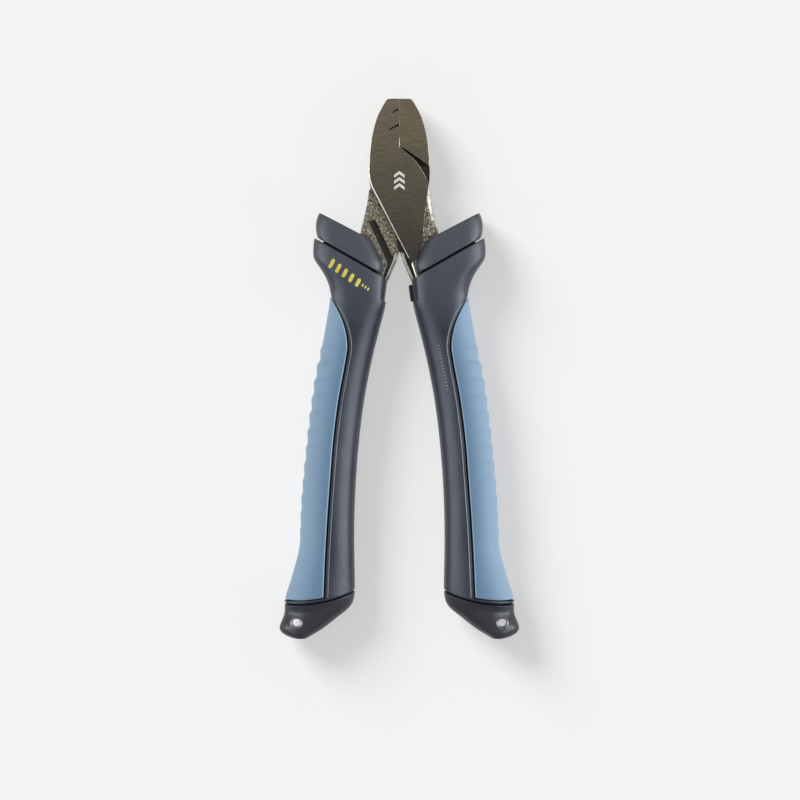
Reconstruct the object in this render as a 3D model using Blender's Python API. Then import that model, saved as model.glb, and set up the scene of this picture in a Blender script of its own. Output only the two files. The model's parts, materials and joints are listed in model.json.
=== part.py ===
"""Sleeve-crimping fishing pliers with a lap joint, two-colour handles and lanyard eyelets.

The pliers lie flat on their back: X runs across the handles, Y runs from the lanyard end to the
jaw tips, and Z is up through the thickness.  The origin is the middle of the length and width, on
the surface that the handles rest on.  All outlines below are in millimetres; MM turns them into
metres when a mesh is made.
"""

import math

import bmesh
import bpy
import numpy as np
from mathutils import Matrix

MM = 0.001

# Driving dimensions.
THICKNESS = 15.0  # handles, front face to rear face
MID = THICKNESS / 2  # height of the plane where the two forgings lap
HEAD = 4.0  # half of the thickness of the jaws
PAD = 2.8  # half of the thickness of the tangs
LIP = 0.8  # half of the thickness of the trimmed forging flash
LAP = 0.1  # each lap face stands back this far from the middle plane
SEAM = 0.1  # each jaw stands back this far from the closed seam
PIVOT_Y = 59.0  # rivet centre
TOP = 85.0  # blunt end of the jaws
FIT = 0.3  # gap between pieces that touch
WALL = 2.0  # depth of the soft shells over the hard core

RIVET_RADIUS = 3.0
RIVET_HEAD = 4.2
RIVET_HEAD_DEPTH = 1.2
RIVET_SINK = 0.02  # the ground heads lie this far below the faces
RIVET_RUN = 0.08  # running clearance in the half that turns
RIVET_PRESS = 0.05  # gap in the half that holds the rivet
ROUND_SIDES = 32

SECTION_POINTS = 24  # points round the handle
SECTION_POWER = 2.6  # squareness of the handle section
SECTION_FLAT = 1.07  # above 1, the front and rear of the section are flat

GROOVE_OUTER = (25.3, 40.85)  # ends of the finger-guard groove's centre line
GROOVE_INNER = (5.3, 29.4)
GROOVE = 0.7  # width of that groove
CAP_SEAM = 0.4  # width of the line between the end cap and the handle

EYE_CENTRE = (32.3, -79.8)
EYE_BORE = 1.55
EYE_TUBE = 2.05
EYE_FLANGE = 2.5
EYE_FLANGE_DEPTH = 0.45

# Edges of the whole handle, as (y, x) with x measured out from the centre line of the pliers.
OUTER_EDGE = [
    (-85.0, 33.0), (-84.0, 35.6), (-82.4, 37.4), (-81.0, 37.8), (-79.2, 37.1), (-77.0, 36.2),
    (-73.0, 36.2), (-69.5, 35.2), (-63.0, 33.2), (-56.0, 31.5), (-48.0, 31.1), (-40.0, 30.7),
    (-28.0, 29.6), (-16.0, 28.3), (-3.0, 26.5), (6.0, 24.5), (14.0, 23.0), (20.0, 22.1),
    (24.5, 21.8), (28.0, 22.7), (33.5, 26.1), (36.0, 27.0), (40.5, 26.4), (45.0, 26.2), (50.0, 25.2),
]
INNER_EDGE = [
    (-85.0, 29.5), (-81.3, 23.6), (-77.9, 19.5), (-75.4, 16.4), (-73.0, 14.6), (-69.0, 14.0),
    (-54.0, 14.2), (-42.0, 14.0), (-31.0, 13.4), (-20.0, 12.4), (-10.0, 11.1), (-2.8, 9.8),
    (4.8, 8.2), (12.4, 6.3), (19.9, 4.3), (27.5, 3.4), (29.8, 5.6), (32.6, 5.0), (40.3, 9.0),
    (42.0, 12.0), (50.0, 20.0),
]
HALF_DEPTH = [(-85.0, 5.2), (-83.5, 5.9), (-77.0, 5.9), (-73.0, 7.1), (-66.0, 7.5), (50.0, 7.5)]
STATIONS = [-85.0, -84.2, -82.6, -81.0, -78.6, -76.0, -73.4, -70.0, -66.0, -60.0, -50.0, -38.0,
            -26.0, -16.0, -8.0, 0.0, 7.0, 14.0, 20.0, 24.5, 27.6, 29.8, 32.6, 36.0, 40.3, 44.0, 50.0]

CORE_FIRST, CORE_LAST = 5, -1  # stations that the hard core runs through

# Front edge of the coloured grip, and the groove beside it, both from the top down.
GRIP_EDGE = [(24.5, 27.4), (22.0, 22.8), (18.1, 15.5), (16.3, 8.3), (17.0, 2.9), (19.2, -9.7),
             (20.8, -22.3), (21.8, -35.0), (22.7, -47.5), (23.4, -60.0), (24.0, -71.8)]
GRIP_GROOVE_TOP = 0.6
GRIP_GROOVE_BOTTOM = 1.1

CAP_LINE = [(12.0, -68.2), (13.9, -69.4), (15.7, -70.8), (18.2, -72.2), (21.0, -72.7),
            (27.3, -73.6), (31.4, -73.9), (36.3, -73.5), (42.0, -73.2)]

# Outlines of the front forging: its jaw is on the left and its tang on the right.
JAW_SIDE = [(-4.0, TOP), (-5.5, 82.3), (-7.2, 78.5), (-8.7, 72.8), (-9.4, 66.5), (-9.6, 61.5)]
STEP_CENTRE = (0.0, 69.6)  # step line between the full jaw and the lap, centre end
STEP_SIDE = (-9.4, 63.3)  # and outer end
SHOULDER = [(0.0, 69.2), (2.6, 67.4), (5.0, 65.5), (7.2, 62.4), (9.1, 58.6)]
PLATE_RIGHT = [(9.1, 56.5), (7.9, 48.0), (7.3, 40.7), (5.9, 36.0)]
PLATE_TIP = [(5.3, 34.6), (4.1, 33.9), (3.0, 34.1)]
PLATE_CORNER = (-9.0, 56.5)
FLASH_LINE = [(-9.2, 56.3), (0.5, 35.4), (4.2, 27.2)]
TANG_OUTER = [(9.5, 56.5), (10.2, 51.7), (11.4, 46.4), (12.4, 42.0), (13.6, 34.0), (14.6, 24.0),
              (16.6, 10.0), (19.6, -5.0), (22.4, -20.0), (23.6, -29.0)]
TANG_END = [(22.8, -32.0), (20.8, -32.6), (19.4, -31.0)]
TANG_INNER = [(18.6, -27.0), (16.4, -18.0), (12.6, 0.0), (9.4, 14.0), (6.8, 24.0)]
PAD_EDGE = [(5.0, 29.7), (3.6, 33.6), (10.3, 47.9)]

# Crimping dies: depth into the left jaw at each height, small die first.
SMALL_DIE = [(0.0, 81.7), (-2.1, 80.8), (-2.6, 79.6), (-0.6, 78.4), (0.0, 78.2)]
LARGE_DIE = [(0.0, 76.4), (-1.8, 76.0), (-3.6, 74.4), (-2.8, 73.2), (-1.9, 72.5), (-0.1, 72.3)]
DIE_RELIEF = 0.25  # the male dies reach this much less deep than the female ones
DIE_SHRINK = 0.92  # and are shorter along the jaw by this factor

STEEL = ((0.12, 0.105, 0.085), 0.38, 1.0)
RIVET_STEEL = ((0.13, 0.115, 0.095), 0.35, 1.0)
CORE_PLASTIC = ((0.012, 0.013, 0.016), 0.55, 0.0)
NAVY_RUBBER = ((0.06, 0.07, 0.085), 0.6, 0.0)
BLUE_RUBBER = ((0.23, 0.36, 0.45), 0.7, 0.0)
CAP_PLASTIC = ((0.035, 0.038, 0.046), 0.5, 0.0)
NICKEL = ((0.7, 0.69, 0.66), 0.25, 1.0)


def smooth(points, steps=3):
    """A Catmull-Rom curve through the given points, with each span cut into equal steps."""
    padded = [points[0], *points, points[-1]]
    curve = []
    for before, start, end, after in zip(padded, padded[1:], padded[2:], padded[3:]):
        for step in range(steps):
            t = step / steps
            curve.append(tuple(
                0.5 * (2 * b + (c - a) * t + (2 * a - 5 * b + 4 * c - d) * t * t
                       + (3 * b - a - 3 * c + d) * t ** 3)
                for a, b, c, d in zip(before, start, end, after)))
    return [*curve, points[-1]]


def read_curve(points, at):
    """Reads a smooth curve, whose first coordinate rises, at one value of that coordinate."""
    firsts, seconds = zip(*smooth(points, 6))
    return float(np.interp(at, firsts, seconds))


def offset(outline, distance):
    """Grows a closed outline by moving each corner along its mitre."""
    corners = np.array(outline)
    x, y = corners.T
    if np.sum(x * np.roll(y, -1) - np.roll(x, -1) * y) < 0:
        distance = -distance
    moved = []
    for before, corner, after in zip(np.roll(corners, 1, 0), corners, np.roll(corners, -1, 0)):
        first = (corner - before) / np.linalg.norm(corner - before)
        second = (after - corner) / np.linalg.norm(after - corner)
        mitre = np.array([first[1] + second[1], -first[0] - second[0]])
        moved.append(tuple(corner + mitre * distance / (1 + first @ second)))
    return moved


def solid_from(name, bm):
    """Makes an object from a closed bmesh, with its faces turned outwards."""
    bmesh.ops.recalc_face_normals(bm, faces=bm.faces)
    mesh = bpy.data.meshes.new(name)
    bm.to_mesh(mesh)
    bm.free()
    solid = bpy.data.objects.new(name, mesh)
    bpy.context.scene.collection.objects.link(solid)
    return solid


def prism(name, outline, low, high):
    """Extrudes an outline between two heights above the middle plane."""
    bm = bmesh.new()
    corners = [bm.verts.new((x * MM, y * MM, (MID + low) * MM)) for x, y in outline]
    face = bm.faces.new(corners)
    top = bmesh.ops.extrude_face_region(bm, geom=[face])["geom"]
    lifted = [item for item in top if isinstance(item, bmesh.types.BMVert)]
    bmesh.ops.translate(bm, verts=lifted, vec=(0, 0, (high - low) * MM))
    return solid_from(name, bm)


def turned(name, profile, centre, hollow=False):
    """Turns a (radius, height) profile about an upright axis; a hollow one closes on itself."""
    bm = bmesh.new()
    rings = []
    for radius, height in profile:
        ring = []
        for side in range(ROUND_SIDES):
            angle = 2 * math.pi * side / ROUND_SIDES
            place = (centre[0] + radius * math.cos(angle), centre[1] + radius * math.sin(angle))
            ring.append(bm.verts.new((place[0] * MM, place[1] * MM, (MID + height) * MM)))
        rings.append(ring)
    closing = [rings[0]] if hollow else []
    for ring, after in zip(rings, rings[1:] + closing):
        for side in range(ROUND_SIDES):
            beside = (side + 1) % ROUND_SIDES
            bm.faces.new((ring[side], ring[beside], after[beside], after[side]))
    if not hollow:
        bm.faces.new(rings[0])
        bm.faces.new(rings[-1])
    return solid_from(name, bm)


def combine(target, cutter, operation):
    """Applies an exact Boolean of one solid with another, which it uses up."""
    modifier = target.modifiers.new(operation, "BOOLEAN")
    modifier.operation = operation
    modifier.solver = "EXACT"
    modifier.object = cutter
    graph = bpy.context.evaluated_depsgraph_get()
    mesh = bpy.data.meshes.new_from_object(target.evaluated_get(graph))
    target.modifiers.clear()
    target.data = mesh
    bpy.data.objects.remove(cutter)
    return target


def finish(solid, look, parent, sharp_degrees=32):
    """Gives a solid its material, its shading and its parent."""
    colour, roughness, metallic = look
    material = bpy.data.materials.new(solid.name)
    material.use_nodes = True
    shader = material.node_tree.nodes["Principled BSDF"]
    shader.inputs["Base Color"].default_value = (*colour, 1.0)
    shader.inputs["Roughness"].default_value = roughness
    shader.inputs["Metallic"].default_value = metallic
    solid.data.materials.clear()
    solid.data.materials.append(material)
    solid.data.shade_smooth()
    solid.data.set_sharp_from_angle(angle=math.radians(sharp_degrees))
    solid.parent = parent
    solid.matrix_parent_inverse = parent.matrix_world.inverted()
    return solid


def handle_section(y, inset):
    """One closed section of the handle, shrunk inwards by inset."""
    inner = read_curve(INNER_EDGE, y) + inset
    outer = read_curve(OUTER_EDGE, y) - inset
    depth = float(np.interp(y, *zip(*HALF_DEPTH))) - inset
    ring = []
    for point in range(SECTION_POINTS):
        angle = 2 * math.pi * (point + 0.5) / SECTION_POINTS
        across = abs(math.cos(angle)) ** (2 / SECTION_POWER)
        up = min(1.0, SECTION_FLAT * abs(math.sin(angle)) ** (2 / SECTION_POWER))
        ring.append(((inner + outer) / 2 + math.copysign(across, math.cos(angle)) * (outer - inner) / 2,
                     y, math.copysign(up, math.sin(angle)) * depth))
    return ring


def handle_form(name, inset=0.0):
    """The right handle, from guard tip to lanyard end, as one lofted solid shrunk by inset."""
    bm = bmesh.new()
    rings = [[bm.verts.new((x * MM, y * MM, (MID + z) * MM)) for x, y, z in handle_section(y, inset)]
             for y in (STATIONS[CORE_FIRST:CORE_LAST] if inset else STATIONS)]
    for ring, after in zip(rings, rings[1:]):
        for point in range(SECTION_POINTS):
            beside = (point + 1) % SECTION_POINTS
            bm.faces.new((ring[point], ring[beside], after[beside], after[point]))
    bm.faces.new(rings[0])
    bm.faces.new(rings[-1])
    return solid_from(name, bm)


def groove_line(shift, inner_x):
    """The guard groove's centre line, moved up by shift, from inner_x to beyond the handle."""
    (x0, y0), (x1, y1) = GROOVE_INNER, GROOVE_OUTER
    slope = (y1 - y0) / (x1 - x0)
    lift = shift * math.hypot(1, slope)
    return [(x, y0 + (x - x0) * slope + lift) for x in (inner_x, 32.0)]


def guard_region():
    """Front outline of the finger guard."""
    return [*groove_line(GROOVE / 2, 5.4), (32.0, 52.4), (17.0, 44.6), (12.0, 41.9), (9.0, 40.3), (5.0, 32.6)]


def core_region():
    """Front outline of the hard core, which stops short of the guard's faces and the end cap."""
    return [(6.4, 20.0), (6.4, 31.6), (9.6, 38.0), (12.5, 39.9), (18.0, 42.4), (25.0, 46.3), (34.0, 46.3),
            (34.0, -20.0), (42.0, -76.0), (10.0, -76.0), (8.0, -20.0)]


def cap_line(shift):
    """The line between the handle and its end cap, moved up by shift."""
    return [(x, y + shift) for x, y in smooth(CAP_LINE, 2)]


def grip_line():
    """Front edge of the grip, from the top down."""
    return smooth(GRIP_EDGE, 2)


def grip_region():
    """Front outline of the grip."""
    return [*grip_line(), (32.0, -72.4), (44.0, -72.7), (44.0, 27.4)]


def body_region():
    """Front outline of the handle body: beside the grip, and a ledge under the grip's lower end."""
    inner, outer = groove_line(-GROOVE / 2, -1.0)
    beside = []
    for x, y in grip_line()[:-1]:
        share = min(1.0, max(0.0, (10.0 - y) / 40.0))
        beside.append((x - GRIP_GROOVE_TOP - share * (GRIP_GROOVE_BOTTOM - GRIP_GROOVE_TOP), y))
    ledge = [(beside[-1][0], -72.1), (32.0, -72.7), (44.0, -73.0)]
    foot = cap_line(CAP_SEAM / 2)
    return [inner, (-1.0, -60.0), *foot[:-1], *ledge[::-1], *beside[::-1], outer]


def cap_region():
    """Front outline of the end cap."""
    return [*cap_line(-CAP_SEAM / 2), (44.0, -90.0), (8.0, -90.0)]


def tang_region():
    """Outline of the full-thickness tang, which runs from beside the lap deep into the handle."""
    return [*PAD_EDGE, *TANG_OUTER[2:], *TANG_END, *TANG_INNER]


def lip_region():
    """Outline of the flash lip along the tang's inner side, below the lap."""
    return [(0.7, 35.0), FLASH_LINE[-1], (5.6, 23.5), (9.0, 22.0), (9.0, 35.0)]


def plate_region():
    """Outline of the lap plate, without the ledge along its inner side."""
    return [(-0.2, 71.5), *SHOULDER, *PLATE_RIGHT, *PLATE_TIP, PLATE_CORNER, JAW_SIDE[-1], (-9.4, 64.5),
            (-5.0, 68.0)]


def ledge_region():
    """Outline of the low ledge under the lap plate, out to the forging's trimmed inner line."""
    return [*FLASH_LINE[:2], (3.6, 33.6), *TANG_OUTER[3::-1], (0.0, 60.0)]


def web_region():
    """Outline of the half-thickness start of the tang, beside and under the lap plate."""
    return [(3.6, 33.9), *TANG_OUTER[3::-1], (6.0, 56.5), (6.0, 45.0), (4.0, 38.0)]


def male(die):
    """The tooth that fills a die, a little smaller all round."""
    middle = (die[0][1] + die[-1][1]) / 2
    return [(max(0.0, -x - DIE_RELIEF), middle + (y - middle) * DIE_SHRINK) for x, y in die]


def jaw_region(dies):
    """Outline of one full-thickness jaw, with the given dies cut into it or standing out of it."""
    seam = [(0.0, TOP), *[point for die in dies for point in die], STEP_CENTRE]
    return [*smooth(JAW_SIDE[:-1], 2)[::-1], *[(x - SEAM, y) for x, y in seam], STEP_SIDE]


def rivet_profile(grow):
    """The rivet's flush countersunk heads and its shank, upwards, or the bore round them."""
    end = HEAD + (grow if grow else -RIVET_SINK)
    neck = HEAD - RIVET_HEAD_DEPTH
    shank = RIVET_RADIUS + grow
    head = shank + (end - neck) * (RIVET_HEAD - RIVET_RADIUS) / RIVET_HEAD_DEPTH
    return [(head, -end), (shank, -neck), (shank, neck), (head, end)]


def forging(name, dies, clearance, turned_over):
    """A lap-jointed forging: jaw, lap plate and tang.  Turned over, it is the rear one."""
    solid = prism(name, jaw_region(dies), -HEAD, HEAD)
    layers = [(plate_region(), LAP, HEAD), (ledge_region(), LAP, LIP), (web_region(), LAP, PAD),
              (tang_region(), -PAD, PAD), (lip_region(), -LIP, LIP)]
    for outline, low, high in layers:
        combine(solid, prism("layer", outline, low, high), "UNION")
    combine(solid, turned("bore", rivet_profile(clearance), (0.0, PIVOT_Y)), "DIFFERENCE")
    if turned_over:
        middle = Matrix.Translation((0, 0, MID * MM))
        solid.data.transform(middle @ Matrix.Rotation(math.pi, 4, "Y") @ middle.inverted())
    return solid


def tang_space():
    """The pocket that the tang and its lip fill, with clearance."""
    space = prism("tang_space", offset(tang_region(), FIT), -PAD - FIT, PAD + FIT)
    return combine(space, prism("lip_space", offset(lip_region(), FIT), -LIP - FIT, LIP + FIT), "UNION")


def core_form(name, grow):
    """The hard core under the shells, or the room for it in them."""
    solid = handle_form(name, WALL - grow)
    return combine(solid, prism("core_limit", offset(core_region(), grow), -THICKNESS, THICKNESS), "INTERSECT")


def shell(name, region):
    """One outer moulding: the handle form within an outline, hollowed for the core and the tang."""
    solid = handle_form(name)
    combine(solid, prism("limit", region, -THICKNESS, THICKNESS), "INTERSECT")
    combine(solid, core_form("core_room", FIT), "DIFFERENCE")
    return solid


def eyelet_profile(grow):
    """Half section of the lanyard eyelet, out of its bore, or of the hole that holds it."""
    face = 5.9
    bore = EYE_BORE if not grow else 0.0
    tube, flange = EYE_TUBE + grow, EYE_FLANGE + grow
    neck = face - EYE_FLANGE_DEPTH - grow
    top = face + (1.0 if grow else 0.0)
    outside = [(flange, -top), (flange, -neck), (tube, -neck), (tube, neck), (flange, neck), (flange, top)]
    return outside if grow else [(bore, -top), *outside, (bore, top)]


def right_handle():
    """All the pieces fixed to the right tang."""
    guard = combine(shell("guard_right", guard_region()), tang_space(), "DIFFERENCE")
    body = combine(shell("handle_body_right", body_region()), tang_space(), "DIFFERENCE")
    core = combine(core_form("handle_core_right", 0.0), tang_space(), "DIFFERENCE")
    cap = shell("end_cap_right", cap_region())
    combine(cap, turned("eyelet_hole", eyelet_profile(FIT / 3), EYE_CENTRE), "DIFFERENCE")
    eyelet = turned("lanyard_eyelet_right", eyelet_profile(0.0), EYE_CENTRE, hollow=True)
    grip = shell("grip_right", grip_region())
    return {core: CORE_PLASTIC, guard: NAVY_RUBBER, body: NAVY_RUBBER, grip: BLUE_RUBBER,
            cap: CAP_PLASTIC, eyelet: NICKEL}


def mirrored(solid):
    """The left-hand copy of a right-hand piece."""
    mesh = solid.data.copy()
    mesh.transform(Matrix.Scale(-1, 4, (1, 0, 0)))
    mesh.flip_normals()
    copy = bpy.data.objects.new(solid.name.replace("right", "left"), mesh)
    bpy.context.scene.collection.objects.link(copy)
    return copy


def frame_empty(name, location):
    """An empty that carries one half of the pliers."""
    empty = bpy.data.objects.new(name, None)
    empty.location = location
    bpy.context.scene.collection.objects.link(empty)
    bpy.context.view_layer.update()
    return empty


def main():
    for old in list(bpy.data.objects):
        bpy.data.objects.remove(old)
    rear_half = frame_empty("rear_half", (0, 0, 0))
    front_half = frame_empty("front_half", (0, PIVOT_Y * MM, MID * MM))

    front = forging("forging_front", [SMALL_DIE, LARGE_DIE], RIVET_RUN, False)
    rear = forging("forging_rear", [male(SMALL_DIE), male(LARGE_DIE)], RIVET_PRESS, True)
    finish(front, STEEL, front_half)
    finish(rear, STEEL, rear_half)
    finish(turned("pivot_rivet", rivet_profile(0.0), (0.0, PIVOT_Y)), RIVET_STEEL, rear_half)

    for piece, look in right_handle().items():
        finish(mirrored(piece), look, rear_half)
        finish(piece, look, front_half)


main()
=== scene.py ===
"""The finished look of the sleeve-crimping fishing pliers, built around their fixed frame.

Outlines are in millimetres in the frame's own axes: X across the handles, Y towards the jaw tips, Z up
from the surface that the pliers lie on.  Every handle piece is made on the right and mirrored.
"""

import json
import math

import bmesh
import bpy
import numpy as np
from mathutils import Matrix, Vector
from mathutils.bvhtree import BVHTree


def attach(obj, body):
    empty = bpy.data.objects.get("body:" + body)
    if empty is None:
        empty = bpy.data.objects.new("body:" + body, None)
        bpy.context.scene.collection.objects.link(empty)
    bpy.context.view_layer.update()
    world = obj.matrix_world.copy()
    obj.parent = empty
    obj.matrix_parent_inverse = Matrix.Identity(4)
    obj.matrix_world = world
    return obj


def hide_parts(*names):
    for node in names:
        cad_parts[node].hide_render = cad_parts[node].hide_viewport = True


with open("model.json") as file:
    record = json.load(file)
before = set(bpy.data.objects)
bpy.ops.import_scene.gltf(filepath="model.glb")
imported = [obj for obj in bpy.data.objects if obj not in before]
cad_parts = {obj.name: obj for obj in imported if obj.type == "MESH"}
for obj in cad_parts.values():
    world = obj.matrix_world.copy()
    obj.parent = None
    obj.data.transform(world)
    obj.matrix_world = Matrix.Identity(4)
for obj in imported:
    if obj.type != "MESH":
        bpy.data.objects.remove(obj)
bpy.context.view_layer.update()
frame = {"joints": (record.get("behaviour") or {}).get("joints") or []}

MM = 0.001
PIVOT = [value / MM for value in frame["joints"][0]["pos_m"]]
MID = PIVOT[2]  # height of the plane where the forgings lap
TOP = 85.0  # blunt end of the jaws
REAR, FRONT = "rear_half", "front_half"  # bodies: rear forging and left handle; front forging and right

# ---------------------------------------------------------------- handle sizes
POWER, GUARD_POWER = 2.5, 4.2  # squareness of the section along the handle, and at the guard
SHELL = 2.5  # depth of the soft mouldings over the core
CORE_INSET = 2.8
EDGE = 0.45  # rounding of the mouldings' edges
GROOVE_INNER, GROOVE_OUTER = (5.3, 29.4), (25.3, 40.85)
GROOVE = 0.7
GUARD_RISE, GUARD_PITCH = 9.4, 0.8  # the guard's height up its inner side, and between its sections
FAN_START = 17.0  # above this height the sections swing round to lie along the guard groove
SEAM_START = -60.0  # below this height they swing round to lie along the end cap's seam
SEAM_OUTER_Y = -73.5
SEAM_INNER_Y = -69.4
SEAM_BOW = -1.9
SEAM = 0.4

OUTER_EDGE = [
    (-80.0, 37.6), (-77.0, 36.6), (-73.0, 36.2), (-69.5, 35.2), (-63.0, 33.2), (-56.0, 31.5), (-48.0, 31.1),
    (-40.0, 30.7), (-28.0, 29.6), (-16.0, 28.3), (-3.0, 26.5), (6.0, 24.6), (14.0, 23.1), (20.0, 22.1),
    (24.5, 21.8), (28.0, 22.8), (31.0, 24.4), (34.2, 26.6), (36.0, 27.1), (38.5, 27.1), (41.5, 26.8),
    (45.0, 26.8),
]
INNER_EDGE = [
    (-75.0, 14.4), (-69.0, 14.0), (-54.0, 14.2), (-42.0, 14.0), (-31.0, 13.4), (-20.0, 12.4), (-10.0, 11.1),
    (-2.8, 9.8), (4.8, 8.2), (12.4, 6.3), (19.9, 4.4), (27.5, 3.4), (30.0, 3.3),
]
GUARD_INNER = [(29.8, 5.5), (31.2, 5.0), (32.8, 4.9), (34.9, 5.6), (37.8, 7.0), (40.4, 8.4)]
GUARD_OUTER = [(41.4, 25.7), (43.2, 26.2), (45.5, 26.3), (47.6, 25.9), (49.2, 25.2)]
CAP_INNER = [(-84.95, 29.6), (-83.2, 26.6), (-81.3, 23.6), (-77.9, 19.3), (-75.6, 16.4), (-73.6, 14.8),
             (-71.4, 14.2), (-69.4, 14.0)]
CAP_OUTER = [(-84.95, 31.2), (-84.6, 33.6), (-83.7, 35.9), (-82.6, 37.3), (-81.2, 37.75), (-79.5, 37.2),
             (-77.2, 36.3), (-75.2, 36.1), (-73.0, 36.2)]
CAP_DEPTH = [(-85.0, 4.9), (-83.8, 5.8), (-77.0, 6.2), (-73.0, 7.2)]
GRIP_EDGE = [(24.5, 27.4), (22.0, 22.8), (18.1, 15.5), (16.4, 8.3), (17.0, 2.4), (19.2, -9.7),
             (20.8, -22.3), (21.8, -35.0), (22.7, -47.5), (23.4, -60.0), (24.0, -74.0)]
LEDGE = 0.75  # sloping ledge on the body beside the grip
LEDGE_DROP = 0.12
TRENCH = 0.62  # gap between that ledge and the grip
GRIP_FLOOR = 1.9  # depth of the seat that the grip lies in
GRIP_END_Y, GRIP_TOP_Y = -72.2, 22.9
GRIP_STEPS, GRIP_PITCH = 26, 0.42  # steps from the grip's edge round to the outer side, and along it
RIDGE_PITCH = 5.2
RIDGE_HEIGHT = 0.62
RIDGE_TOP, RIDGE_BOTTOM = 8.0, -56.0
HALF_DEPTH = 7.5

STOP, STOP_LENGTH, STOP_WIDTH, STOP_DEPTH = (3.85, 23.9), 5.4, 1.3, 2.0
STOP_TURN = math.radians(98)

EYE = (32.3, -79.8)
EYE_BORE, EYE_TUBE, EYE_FLANGE = 1.4, 1.7, 2.0
EYE_FACE = 5.95

# ---------------------------------------------------------------- forging sizes
# Heights above and below the middle plane: head, tang, lip, and half the clearance of the lap.
HEAD, PAD, LIP, LAP = 4.0, 2.8, 0.8, 0.1
JAW_SIDE = [(-2.9, TOP), (-3.6, 84.85), (-4.15, 84.4), (-5.5, 82.2), (-7.2, 78.6), (-8.7, 72.8),
            (-9.4, 66.5)]
STEP = [(0.0, 69.8), (-0.9, 69.6), (-1.9, 69.15), (-4.4, 67.5), (-7.8, 65.1), (-9.45, 63.7)]
SHOULDER = [(0.0, 69.75), (1.1, 68.95), (2.8, 67.5), (5.0, 65.5), (7.2, 62.4), (9.1, 58.6)]
PLATE_RIGHT = [(9.15, 57.5), (8.9, 55.0), (7.9, 48.0), (7.35, 41.5), (6.6, 37.6)]
PLATE_TIP = [(5.9, 35.6), (4.9, 34.3), (3.7, 34.0), (2.8, 34.7)]
PLATE_CORNER = (-9.0, 56.9)
PLATE_LEFT = [(-9.45, 59.0), (-9.6, 61.5), (-9.5, 64.5)]
TANG_OUTER = [(9.5, 56.5), (10.2, 51.7), (11.4, 46.4), (12.4, 42.0), (13.6, 34.0), (14.6, 24.0),
              (16.6, 10.0), (19.6, -5.0), (22.4, -20.0), (23.6, -29.0)]
TANG_END = [(22.8, -32.0), (20.8, -32.6), (19.4, -31.0)]
TANG_INNER = [(18.6, -27.0), (16.4, -18.0), (12.6, 0.0), (9.4, 14.0), (6.8, 24.0)]
PAD_EDGE = [(5.0, 29.7), (3.9, 33.0), (4.2, 34.4), (9.7, 46.3), (10.9, 46.9)]
PAD_SLOPE = 2.3  # width of the slope from the pad down to the lap
LIP_INNER = [(0.1, 36.7), (0.85, 34.0), (2.8, 29.5), (4.6, 25.5)]  # edge of the thin lip beside the tang
LIP_WIDTH, LIP_RIM, LIP_SLIT = 1.35, 0.4, 0.16
LAP_CROTCH = [(-0.7, 42.0), (-0.7, 38.6), (0.15, 36.75), (1.7, 34.3), (4.1, 33.5)]
CHANNEL = 0.3  # half thickness of the metal between the lip and the tang
FALL = 0.5  # depth of a chamfer for each unit of its width
SMALL_DIE = [(0.0, 81.9), (-1.1, 81.6), (-2.0, 80.9), (-2.4, 80.2), (-2.2, 79.4), (-1.4, 78.7), (-0.5, 78.3),
             (0.0, 78.3)]
SMALL_TOOTH = [(0.0, 81.35), (-1.0, 81.2), (-1.85, 80.7), (-2.3, 80.15), (-2.12, 79.45), (-1.36, 78.78),
               (-0.5, 78.37), (0.0, 78.37)]
LARGE_DIE = [(0.0, 77.1), (-0.9, 76.8), (-2.3, 76.0), (-3.4, 75.1), (-3.65, 74.6), (-3.0, 73.7),
             (-2.2, 73.05), (-1.2, 72.65), (0.0, 72.5)]
LARGE_TOOTH = [(0.0, 76.5), (-0.9, 76.3), (-2.1, 75.65), (-3.3, 74.95), (-3.5, 74.6), (-2.92, 73.78),
               (-2.15, 73.13), (-1.18, 72.73), (0.0, 72.58)]
RIVET_RADIUS, RIVET_HEAD, RIVET_HEAD_DEPTH, RIVET_GAP = 3.0, 4.2, 1.2, 0.015

# ---------------------------------------------------------------- sizes of the marks
CHEVRONS, CHEVRON_WIDTH, CHEVRON_RISE, CHEVRON_STROKE = (56.3, 58.2, 60.1), 3.3, 1.2, 0.95
GOLD_SLANT, DASH_SLANT = math.radians(62), math.radians(15)
MARK_SPREAD = (0.15, 0.4, 0.7, 1.0)

# ---------------------------------------------------------------- stage
FLOOR_SIZE = 3.0  # metres from the middle of the floor to its side
FLOOR_TONE, FLOOR_GLOW = 0.4, 0.5
AMBIENT = 0.36
SUN_POWER, SUN_SPREAD, SUN_FROM = 3.9, 30.0, (-1.15, 1.2, 1.0)
STRIP_POWER, STRIP_SIZE, STRIP_RISE, STRIP_REACH = (14.0, 20.0), (0.16, 1.4), 36.0, 1.2
STRIP_COLOUR = (0.86, 0.93, 1.0)
CAMERA_HEIGHT = 1.6
VIEW_WIDTH = 252.0  # millimetres seen across the picture at the middle plane
VIEW_CENTRE = (0.2, -9.7)


# ---------------------------------------------------------------- curves
def smooth(points, steps=8):
    """A Catmull-Rom curve through the given points, with each span cut into equal steps."""
    padded = [points[0], *points, points[-1]]
    curve = []
    for before, start, end, after in zip(padded, padded[1:], padded[2:], padded[3:]):
        for step in range(steps):
            t = step / steps
            curve.append(tuple(
                0.5 * (2 * b + (c - a) * t + (2 * a - 5 * b + 4 * c - d) * t * t
                       + (3 * b - a - 3 * c + d) * t ** 3)
                for a, b, c, d in zip(before, start, end, after)))
    return [*curve, points[-1]]


def reader(points):
    """Turns (position, value) points into a smooth function of position."""
    positions, values = zip(*smooth(points))
    return lambda at: float(np.interp(at, positions, values))


def ease(value):
    """A smooth step from 0 to 1."""
    value = min(1.0, max(0.0, value))
    return value * value * (3 - 2 * value)


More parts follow.
